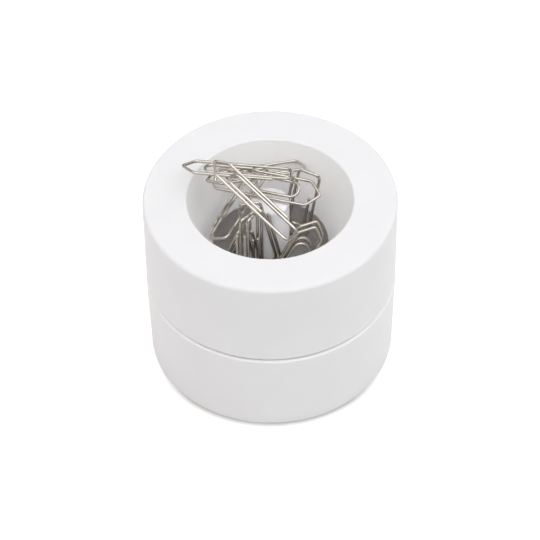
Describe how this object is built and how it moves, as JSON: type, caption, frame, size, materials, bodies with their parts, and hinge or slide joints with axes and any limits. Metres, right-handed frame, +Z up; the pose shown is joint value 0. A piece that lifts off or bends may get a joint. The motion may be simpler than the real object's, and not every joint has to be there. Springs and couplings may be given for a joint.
{
  "type": "magnetic paper clip holder",
  "caption": "Round white desk cup with a lift-off funnel-mouthed top ring and a magnetic middle post that loose wire paper clips cling to.",
  "frame": {"origin": "on the table, under the middle of the holder", "axes": "+Z up along the post; -Y to the front, as pictured; +X to the right"},
  "size_m": [0.0734, 0.0734, 0.0701],
  "materials": {
    "shell": "satin white, injection moulded",
    "post": "satin white, injection moulded",
    "magnet": "nickel plated",
    "steel": "zinc plated",
    "pad": "matt foam rubber",
    "clip_wire": "bright nickel plate"
  },
  "bodies": {
    "base": {"base_cup": "shell", "base_plate": "steel", "base_screws": "steel", "non_slip_pad": "pad", "post_sleeve": "post", "magnet": "magnet", "core_rod": "steel", "paper_clip_upright_right": "clip_wire", "paper_clip_upright_front": "clip_wire", "paper_clip_upright_left": "clip_wire", "paper_clip_upright_middle": "clip_wire", "paper_clip_leaning_inner": "clip_wire", "paper_clip_leaning_outer": "clip_wire", "paper_clip_leaning_left": "clip_wire"},
    "ring": {"top_ring": "shell", "paper_clip_across_post": "clip_wire", "paper_clip_at_back": "clip_wire", "paper_clip_at_left": "clip_wire"},
    "clip_over_rim": {"paper_clip_over_rim": "clip_wire"},
    "clip_on_top": {"paper_clip_on_top": "clip_wire"}
  },
  "joints": [
    {"name": "ring_lift", "type": "slide", "parent": "base", "child": "ring", "axis": [0, 0, 1], "range_m": [0, 0.04]},
    {"name": "clip_over_rim_pull", "type": "slide", "parent": "ring", "child": "clip_over_rim", "axis": [-0.9948, 0.087, 0.0523], "range_m": [0, 0.04]},
    {"name": "clip_on_top_lift", "type": "slide", "parent": "ring", "child": "clip_on_top", "axis": [0, 0, 1], "range_m": [0, 0.04]}
  ]
}
